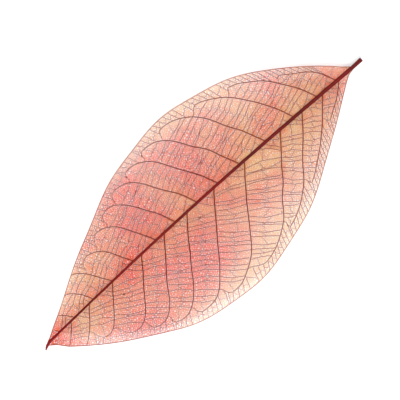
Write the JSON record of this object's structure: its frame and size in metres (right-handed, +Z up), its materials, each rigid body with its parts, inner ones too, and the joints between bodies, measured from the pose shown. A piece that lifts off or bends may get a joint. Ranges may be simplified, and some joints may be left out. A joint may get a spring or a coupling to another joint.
{
  "type": "skeleton leaf",
  "caption": "Dried skeleton leaf: an open vein network with a raised midrib, looped side veins and a short stalk, dyed coral red, lying flat.",
  "frame": {"origin": "on the flat underside of the midrib, at half the blade's length", "axes": "+Y along the blade from the stalk to the tip, +Z up, away from the surface that the leaf lies on"},
  "size_m": [0.0451, 0.1032, 0.0054],
  "materials": {
    "dyed_fibre": "matt dried vein fibre, dyed coral red, darker along the midrib"
  },
  "bodies": {
    "root": {"skeleton_leaf": "dyed_fibre"}
  },
  "joints": []
}
